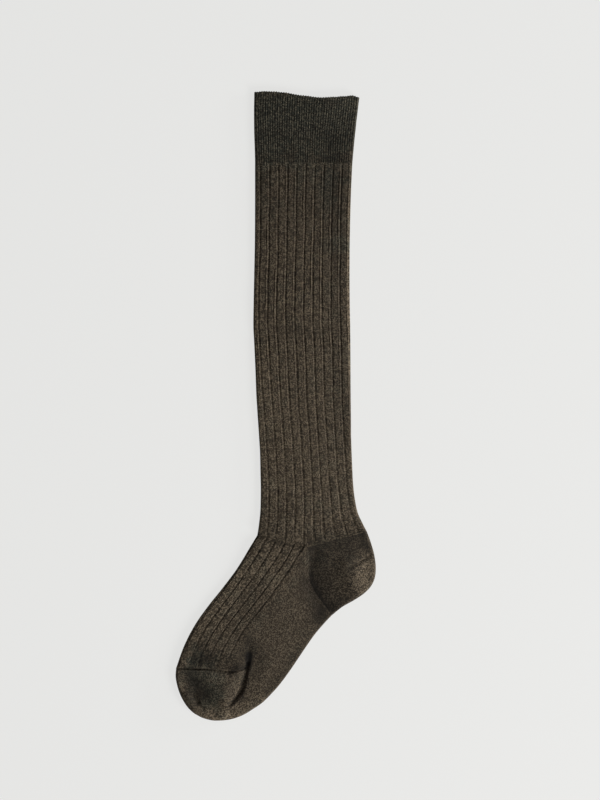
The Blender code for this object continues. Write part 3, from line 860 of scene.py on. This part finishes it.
def make_toe_seam():
    """The linked seam over the toes: a row of small yarn loops sunk between foot and toe."""
    first = TOE_COURSES[0]
    course = Course(*(np.array([[value]]) for value in first))
    end = first.side_ribs - SEAM_ENDS
    ribs = np.linspace(-end, end, SEAM_LOOPS)[None, :] - first.turn
    centres = tube_points(course, ribs, HIDDEN_WALL, 0.0, SEAM_SUNK)[0]
    ups = tube_points(course, ribs, HIDDEN_WALL, 0.0, 0.0)[0] - centres
    ups /= np.linalg.norm(ups, axis=1)[:, None]
    ways = np.gradient(centres, axis=0)
    ways /= np.linalg.norm(ways, axis=1)[:, None]
    mesh = bmesh.new()
    layers = {mask: mesh.verts.layers.float.new(mask) for mask in ("furrow", "tone_and_painted_shading", "grey")}
    uv_layer = mesh.loops.layers.uv.new("Stitches")
    random = np.random.default_rng(3)
    size = Matrix.Diagonal((*(stretch * MM for stretch in LOOP_STRETCH), 1.0))
    for centre, up, way in zip(centres, ups, ways):
        lean = LOOP_LEAN + LEAN_UNEVEN * random.uniform(-1, 1)
        side = np.cross(up, way)
        longer = way * math.sin(lean) + side * math.cos(lean)
        turn = Matrix((longer, np.cross(up, longer), up)).transposed().to_4x4()
        spot = Matrix.Translation(Vector(centre) * MM)
        made = bmesh.ops.create_uvsphere(
            mesh, u_segments=10, v_segments=7, radius=LOOP_RADIUS, matrix=spot @ turn @ size
        )
        for vert in made["verts"]:
            # The loops lie sunk in the seam's groove: a full furrow mask and a darker tone, both painted
            # shade.
            vert[layers["furrow"]] = 1.0
            vert[layers["tone_and_painted_shading"]] = SEAM_PAINTED_SHADE
            for loop in vert.link_loops:
                loop[uv_layer].uv = vert.co.xy / MM
                loop.face.smooth = True
    finish_piece("toe_seam", mesh, wool("seam_wool"))


HEEL_RINGS = 96
HEEL_HALF = 176  # columns from a corner to the back fold
# How the heel's relief and thickness change towards its ends: over a share of its fan, and over a share of
# the way from a corner to the back fold.
FAN_CHANGE = 0.06
CORNER_INSET = 0.03
CORNER_RELIEF = 0.1
CORNER_THICKNESS = 0.4
HEEL_WALE_RELIEF = 0.06


def make_heel():
    """The heel pocket: courses that fan from the ankle's corner round the back fold and underneath."""
    corner_x, corner_y = HEEL_CORNER
    rings = shell_rings(outer=HEEL_RINGS, inner=12, wall=HIDDEN_WALL)
    places, inset = columns_of(rings)
    course = rows_of(HEEL_COURSES, places[:, 0])
    # From the corner on the upper layer round the back fold to the corner underneath.
    across = np.linspace(-1, 1, 2 * HEEL_HALF + 1)[None, :]
    from_corner = 1 - np.abs(across)
    inset = inset * ease(from_corner / CORNER_INSET)
    reach = np.hypot(course.back_x - corner_x, course.back_y - corner_y) + course.edge / 2
    wales = reach * across / HEEL_WALE
    ridge = HEEL_WALE_RELIEF * (1 - np.abs(np.sin(math.pi * wales)))
    fan_ends = ease(places / FAN_CHANGE) * ease((1 - places) / FAN_CHANGE)
    dip = np.where(inset > 0, 0.0, ridge * fan_ends * ease(from_corner / CORNER_RELIEF))
    # All its courses are as thick as the first one where they meet at the corner.
    first = HEEL_COURSES[0]
    own = ease(from_corner / CORNER_THICKNESS)
    edge = first.edge + own * (course.edge - first.edge)
    rise = first.rise + own * (course.rise - first.rise)
    points = bowed(cloth_points(
        course.back_x, course.back_y, corner_x, corner_y, -across, edge, rise, HIDDEN_WALL, inset, dip
    ))
    height = PLAIN_FINER * bpy.context.scene.sock_knit.course / MM
    stitch = np.stack(np.broadcast_arrays(wales, places * HEEL_ROUND / height), axis=-1)
    # Fewer and fewer of its courses reach towards the corners.
    outside = points[: HEEL_RINGS + 1]
    reached = np.linalg.norm(np.diff(outside, axis=0), axis=-1).sum(axis=0)[None, :-1]
    courses_kept = narrowed(reached / HEEL_ROUND)
    kept = np.stack([np.ones_like(courses_kept), courses_kept], axis=-1)
    mesh = wrap_grid(points, stitch, 0.0, rims_of(rings), tone_and_painted_shading=HEEL_TONE_AND_SHADE, kept=kept)
    heel = finish_piece("heel_pocket", mesh, wool("heel_wool", contrast=1.6))
    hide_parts("heel")


# ---------------------------------------------------------------------------------------------
# The wool


class Nodes:
    """Adds shader nodes to a tree and joins them."""

    def __init__(self, tree):
        self.tree = tree

    def put(self, socket, value):
        if isinstance(value, bpy.types.NodeSocket):
            self.tree.links.new(value, socket)
        else:
            socket.default_value = value

    def add(self, kind, settings=None, **inputs):
        node = self.tree.nodes.new("ShaderNode" + kind)
        for key, value in (settings or {}).items():
            setattr(node, key, value)
        for key, value in inputs.items():
            self.put(node.inputs[key.replace("_", " ")], value)
        return node

    def math(self, operation, first, second=0.0, third=0.0):
        node = self.tree.nodes.new("ShaderNodeMath")
        node.operation = operation
        for socket, value in zip(node.inputs, (first, second, third)):
            self.put(socket, value)
        return node.outputs[0]

    def blend(self, factor, first, second, how="MIX"):
        node = self.tree.nodes.new("ShaderNodeMix")
        node.data_type = "RGBA"
        node.blend_type = how
        for socket, value in ((0, factor), (6, first), (7, second)):
            self.put(node.inputs[socket], value)
        return node.outputs[2]

    def spread(self, value, low, high, to_low=0.0, to_high=1.0):
        node = self.tree.nodes.new("ShaderNodeMapRange")
        node.interpolation_type = "SMOOTHSTEP"
        for socket, given in zip(node.inputs, (value, low, high, to_low, to_high)):
            self.put(socket, given)
        return node.outputs[0]

    def vector(self, x, y, z=0.0):
        return self.add("CombineXYZ", X=x, Y=y, Z=z).outputs[0]


def new_group(name, inputs, outputs):
    """An empty shader node group with named sockets."""
    group = bpy.data.node_groups.new(name, "ShaderNodeTree")
    for socket, kind in inputs:
        group.interface.new_socket(name=socket, in_out="INPUT", socket_type="NodeSocket" + kind)
    for socket, kind in outputs:
        group.interface.new_socket(name=socket, in_out="OUTPUT", socket_type="NodeSocket" + kind)
    return group, Nodes(group), group.nodes.new("NodeGroupInput"), group.nodes.new("NodeGroupOutput")


# A loop of yarn: how steeply it leans, in courses a half wale, how full its leg is and how low it dips
# where it is pulled through the next one. Between two loops' legs lie holes, below these heights, darkened
# with painted shade.
LOOP_SLANT = 0.6
LEG_FULLNESS = 0.6
LOOP_DIP = 0.6
HOLE_EDGE = 0.45
HOLE_BOTTOM = 0.05


def knit_group():
    """Plain knitting: columns of V-shaped loops, from a vector of wale and course numbers.

    Height is the loops' relief, Gap the holes between them, which the wool darkens with painted shade, and
    Loop the loop's wale and course."""
    if "knit_loops" in bpy.data.node_groups:
        return bpy.data.node_groups["knit_loops"]
    group, nodes, given, out = new_group(
        "knit_loops", [("Stitch", "Vector")], [("Height", "Float"), ("Gap", "Float"), ("Loop", "Vector")]
    )
    parts = nodes.add("SeparateXYZ", Vector=given.outputs["Stitch"])
    wale = nodes.math("FRACT", parts.outputs["X"])
    aside = nodes.math("MULTIPLY", nodes.math("ABSOLUTE", nodes.math("SUBTRACT", wale, 0.5)), 2.0)
    leaning = nodes.math("MULTIPLY_ADD", aside, -LOOP_SLANT, parts.outputs["Y"])
    along = nodes.math("SINE", nodes.math("MULTIPLY", nodes.math("FRACT", leaning), math.pi))
    across = nodes.math("POWER", nodes.math("SINE", nodes.math("MULTIPLY", aside, math.pi)), LEG_FULLNESS)
    height = nodes.math("MULTIPLY", across, nodes.math("MULTIPLY_ADD", along, LOOP_DIP, 1 - LOOP_DIP))
    nodes.put(out.inputs["Height"], height)
    nodes.put(out.inputs["Gap"], nodes.spread(height, HOLE_EDGE, HOLE_BOTTOM))
    nodes.put(
        out.inputs["Loop"],
        nodes.vector(nodes.math("FLOOR", parts.outputs["X"]), nodes.math("FLOOR", leaning)),
    )
    return group


# How much each of the yarn's random fields counts in the shade of a loop, and the mean shade that they
# come to, from which a higher contrast drives the loops apart.
LOOP_SHARE = 0.9
BAND_SHARE = 0.45
YARN_SHARE = 0.45
PLY_SHARE = 0.1
FIBRE_SHARE = 0.6
MEAN_SHADE = 1.25
# Between which shades a loop turns dark, and between which pale.
DARK_FROM, DARK_TO = 0.5, 0.16
PALE_FROM, PALE_TO = 0.52, 0.9
CLOUD_SHARE = 0.3  # how far the clouds move the grey patches' edges
MOST_GREY = 0.9
GREY_TINT = (0.90, 1.03, 1.05, 1.0)


def heather_group():
    """Heather yarn: each loop a little darker or paler, drifting along its course, in fine fibres."""
    if "heather_yarn" in bpy.data.node_groups:
        return bpy.data.node_groups["heather_yarn"]
    group, nodes, given, out = new_group(
        "heather_yarn",
        [
            ("Place", "Vector"), ("Stitch", "Vector"), ("Loop", "Vector"),
            ("Dark", "Color"), ("Middle", "Color"), ("Light", "Color"), ("Grey", "Color"),
            ("Grey Share", "Float"), ("Contrast", "Float"),
        ],
        [("Color", "Color"), ("Fuzz", "Float")],
    )

    def drift(wale, a_wale, course, a_course):
        """Noise that changes this much from a wale to the next and from a course to the next."""
        spot = nodes.vector(nodes.math("MULTIPLY", wale, a_wale), nodes.math("MULTIPLY", course, a_course))
        return nodes.add("TexNoise", Vector=spot, Scale=1.0, Detail=1.0).outputs["Fac"]

    here = nodes.add("SeparateXYZ", Vector=given.outputs["Stitch"]).outputs
    loop = nodes.add("SeparateXYZ", Vector=given.outputs["Loop"]).outputs
    chance = nodes.add("TexWhiteNoise", {"noise_dimensions": "2D"}, Vector=given.outputs["Loop"])
    yarn = drift(here["X"], 0.22, loop["Y"], 5.3)
    ply = drift(loop["X"], 5.3, here["Y"], 0.2)
    bands = drift(here["X"], 0.045, loop["Y"], 0.9)
    fibres = nodes.add("TexNoise", Vector=given.outputs["Place"], Scale=2100.0, Detail=2.0, Roughness=0.7)
    clouds = nodes.add("TexNoise", Vector=given.outputs["Place"], Scale=85.0, Detail=3.0, Roughness=0.65)
    value = nodes.math("MULTIPLY", chance.outputs["Value"], LOOP_SHARE)
    value = nodes.math("MULTIPLY_ADD", bands, BAND_SHARE, value)
    value = nodes.math("MULTIPLY_ADD", yarn, YARN_SHARE, value)
    value = nodes.math("MULTIPLY_ADD", ply, PLY_SHARE, value)
    value = nodes.math("MULTIPLY_ADD", fibres.outputs["Fac"], FIBRE_SHARE, value)
    off_mean = nodes.math("SUBTRACT", value, MEAN_SHADE)
    value = nodes.math("MULTIPLY_ADD", off_mean, given.outputs["Contrast"], 0.5)
    cloud = nodes.spread(clouds.outputs["Fac"], 0.66, 0.36, to_low=-0.35, to_high=1.0)
    greyed = nodes.math("MULTIPLY_ADD", cloud, CLOUD_SHARE, given.outputs["Grey Share"])
    greyed = nodes.spread(greyed, 0.1, 0.75, to_high=MOST_GREY)
    middle = nodes.blend(greyed, given.outputs["Middle"], given.outputs["Grey"])
    colour = nodes.blend(nodes.spread(value, DARK_FROM, DARK_TO), middle, given.outputs["Dark"])
    colour = nodes.blend(nodes.spread(value, PALE_FROM, PALE_TO), colour, given.outputs["Light"])
    # Where the yarn is greyer, its dark and pale fibres are cooler too.
    colour = nodes.blend(greyed, colour, GREY_TINT, "MULTIPLY")
    nodes.put(out.inputs["Color"], colour)
    nodes.put(out.inputs["Fuzz"], fibres.outputs["Fac"])
    return group


# How much painted shade darkens the holes between loops and the furrows.
HOLE_PAINTED_SHADE = -0.3
FURROW_PAINTED_SHADE = -0.22
FUZZ_RELIEF = 0.35
SHEEN_TINT = (0.75, 0.60, 0.44, 1.0)


def wool(name, contrast=1.0):
    """Knitted heather wool. A higher contrast tells its dark loops from its pale ones more."""
    colours = bpy.context.scene.sock_yarn
    sizes = bpy.context.scene.sock_knit
    material = bpy.data.materials.new(name)
    material.use_nodes = True
    nodes = Nodes(material.node_tree)
    shader = material.node_tree.nodes["Principled BSDF"]
    place = nodes.add("TexCoord").outputs["Object"]
    stitch = nodes.add("UVMap", {"uv_map": "Stitches"}).outputs["UV"]
    furrow, tone_and_painted_shading, grey = (
        nodes.add("Attribute", {"attribute_name": mask}).outputs["Fac"] for mask in ("furrow", "tone_and_painted_shading", "grey")
    )
    loops = nodes.add("Group", {"node_tree": knit_group()}, Stitch=stitch)
    yarn = nodes.add(
        "Group", {"node_tree": heather_group()},
        Place=place, Stitch=stitch, Loop=loops.outputs["Loop"], Grey_Share=grey, Contrast=contrast,
    )
    for socket, colour in (
        ("Dark", colours.dark), ("Middle", colours.middle), ("Light", colours.light), ("Grey", colours.grey),
    ):
        nodes.put(yarn.inputs[socket], (*colour, 1.0))
    # The holes, the furrows and the tone mask scale the yarn's colour: painted shade, and painted highlights
    # where the tone mask is above 1.
    in_holes = nodes.math("MULTIPLY_ADD", loops.outputs["Gap"], HOLE_PAINTED_SHADE, 1.0)
    in_furrows = nodes.math("MULTIPLY_ADD", furrow, FURROW_PAINTED_SHADE, 1.0)
    shade = nodes.math("MULTIPLY", nodes.math("MULTIPLY", in_holes, in_furrows), tone_and_painted_shading)
    nodes.put(shader.inputs["Base Color"], nodes.blend(1.0, yarn.outputs["Color"], shade, "MULTIPLY"))
    relief = nodes.math("MULTIPLY_ADD", yarn.outputs["Fuzz"], FUZZ_RELIEF, loops.outputs["Height"])
    bump = nodes.add("Bump", Strength=0.8, Distance=sizes.stitch, Height=relief)
    nodes.put(shader.inputs["Normal"], bump.outputs["Normal"])
    shader.inputs["Roughness"].default_value = 0.9
    shader.inputs["Specular IOR Level"].default_value = 0.15
    shader.inputs["Sheen Weight"].default_value = 0.12
    shader.inputs["Sheen Roughness"].default_value = 0.5
    shader.inputs["Sheen Tint"].default_value = SHEEN_TINT
    return material


# ---------------------------------------------------------------------------------------------
# The stage


FLOOR_HALF = 6.0
FLOOR_DROP = 0.0003  # the floor lies just below the lowest folds
PAPER_GLOW = (1.0, 1.0, 0.985, 1.0)
SOFTBOX_PLACE = (1.73, -1.19, 1.0)
SOFTBOX_SIZE = (0.9, 0.9)
STRIP_PLACE = (2.1, 0.6, 0.34)
STRIP_SIZE = (1.0, 0.24)
# The photograph, in pixels, with the place of the sock's origin in it, from its upper left corner.
PHOTO_SIZE = (600, 800)
PHOTO_ORIGIN = (276, 406)
PIXEL = 0.864


def add_light(name, shape, place, size, power):
    """An area light that faces the sock."""
    light = bpy.data.lights.new(name, "AREA")
    light.shape = shape
    light.size, light.size_y = size
    light.energy = power
    lamp = bpy.data.objects.new(name, light)
    lamp.location = place
    lamp.rotation_euler = lamp.location.to_track_quat("Z", "Y").to_euler()
    bpy.context.scene.collection.objects.link(lamp)


def make_floor():
    """A pale sheet of paper, lit from behind, so that it stays even."""
    stage = bpy.context.scene.sock_stage
    mesh = bmesh.new()
    bmesh.ops.create_grid(mesh, x_segments=1, y_segments=1, size=FLOOR_HALF)
    data = bpy.data.meshes.new("floor")
    mesh.to_mesh(data)
    mesh.free()
    paper = bpy.data.materials.new("floor_paper")
    paper.use_nodes = True
    shader = paper.node_tree.nodes["Principled BSDF"]
    shader.inputs["Base Color"].default_value = (*stage.floor, 1.0)
    shader.inputs["Roughness"].default_value = 0.9
    shader.inputs["Specular IOR Level"].default_value = 0.0
    shader.inputs["Emission Color"].default_value = PAPER_GLOW
    shader.inputs["Emission Strength"].default_value = stage.glow
    data.materials.append(paper)
    floor = bpy.data.objects.new("floor", data)
    floor.location.z = -FLOOR_DROP
    bpy.context.scene.collection.objects.link(floor)


def make_camera():
    """The camera, straight above, with the sock where the photograph has it."""
    camera = bpy.data.cameras.new("camera")
    camera.sensor_width = 36.0
    eye = bpy.data.objects.new("camera", camera)
    width, height = (PIXEL * MM * pixels for pixels in PHOTO_SIZE)
    right, down = (PIXEL * MM * pixels for pixels in PHOTO_ORIGIN)
    above = bpy.context.scene.sock_stage.height
    camera.lens = camera.sensor_width * above / height
    eye.location = (width / 2 - right, down - height / 2, above)
    bpy.context.scene.collection.objects.link(eye)
    bpy.context.scene.camera = eye


def make_stage():
    """The floor, a softbox at the lower right, a low strip at the right, an even sky and the camera."""
    stage = bpy.context.scene.sock_stage
    make_floor()
    add_light("softbox", "DISK", SOFTBOX_PLACE, SOFTBOX_SIZE, stage.key)
    add_light("strip", "RECTANGLE", STRIP_PLACE, STRIP_SIZE, stage.rim)
    make_camera()
    world = bpy.data.worlds.new("studio")
    world.use_nodes = True
    background = world.node_tree.nodes["Background"]
    background.inputs["Color"].default_value = (1.0, 1.0, 1.0, 1.0)
    background.inputs["Strength"].default_value = stage.sky
    bpy.context.scene.world = world
    bpy.context.scene.view_settings.view_transform = "Standard"


# ---------------------------------------------------------------------------------------------
# Operators and panel


class SOCK_OT_cuff(bpy.types.Operator):
    """Knit the cuff in fine rib"""

    bl_idname = "sock.cuff"
    bl_label = "Cuff"

    def execute(self, context):
        make_cuff()
        return {"FINISHED"}


class SOCK_OT_leg(bpy.types.Operator):
    """Knit the leg in broad ribs"""

    bl_idname = "sock.leg"
    bl_label = "Leg"

    def execute(self, context):
        make_leg()
        return {"FINISHED"}


class SOCK_OT_heel(bpy.types.Operator):
    """Turn the heel"""

    bl_idname = "sock.heel"
    bl_label = "Heel"

    def execute(self, context):
        make_heel()
        return {"FINISHED"}


class SOCK_OT_foot(bpy.types.Operator):
    """Knit the foot: ribbed instep and plain sole"""

    bl_idname = "sock.foot"
    bl_label = "Foot"

    def execute(self, context):
        make_foot()
        return {"FINISHED"}


class SOCK_OT_toe(bpy.types.Operator):
    """Turn the toe"""

    bl_idname = "sock.toe"
    bl_label = "Toe"

    def execute(self, context):
        make_toe()
        return {"FINISHED"}


class SOCK_OT_seam(bpy.types.Operator):
    """Link the seam over the toes"""

    bl_idname = "sock.seam"
    bl_label = "Toe seam"

    def execute(self, context):
        make_toe_seam()
        return {"FINISHED"}


class SOCK_OT_stage(bpy.types.Operator):
    """Lay the floor and set the light and the camera"""

    bl_idname = "sock.stage"
    bl_label = "Stage"

    def execute(self, context):
        make_stage()
        return {"FINISHED"}


OPERATORS = (
    SOCK_OT_stage, SOCK_OT_cuff, SOCK_OT_leg, SOCK_OT_heel, SOCK_OT_foot, SOCK_OT_toe, SOCK_OT_seam,
)


class SOCK_PT_panel(bpy.types.Panel):
    """Sock"""

    bl_label = "Ribbed Knee Sock"
    bl_idname = "SOCK_PT_panel"
    bl_space_type = "VIEW_3D"
    bl_region_type = "UI"
    bl_category = "Sock"

    def draw(self, context):
        for settings in (context.scene.sock_knit, context.scene.sock_yarn, context.scene.sock_stage):
            for name in settings.__annotations__:
                self.layout.prop(settings, name)
        for operator in OPERATORS:
            self.layout.operator(operator.bl_idname)


CLASSES = (KnitSizes, YarnColours, StageSettings, *OPERATORS, SOCK_PT_panel)


def register():
    for each in CLASSES:
        bpy.utils.register_class(each)
    bpy.types.Scene.sock_knit = PointerProperty(type=KnitSizes)
    bpy.types.Scene.sock_yarn = PointerProperty(type=YarnColours)
    bpy.types.Scene.sock_stage = PointerProperty(type=StageSettings)


def unregister():
    del bpy.types.Scene.sock_stage
    del bpy.types.Scene.sock_yarn
    del bpy.types.Scene.sock_knit
    for each in reversed(CLASSES):
        bpy.utils.unregister_class(each)


def main():
    register()
    bpy.ops.sock.stage()
    bpy.ops.sock.cuff()
    bpy.ops.sock.leg()
    bpy.ops.sock.heel()
    bpy.ops.sock.foot()
    bpy.ops.sock.toe()
    bpy.ops.sock.seam()


if __name__ == "__main__":
    main()
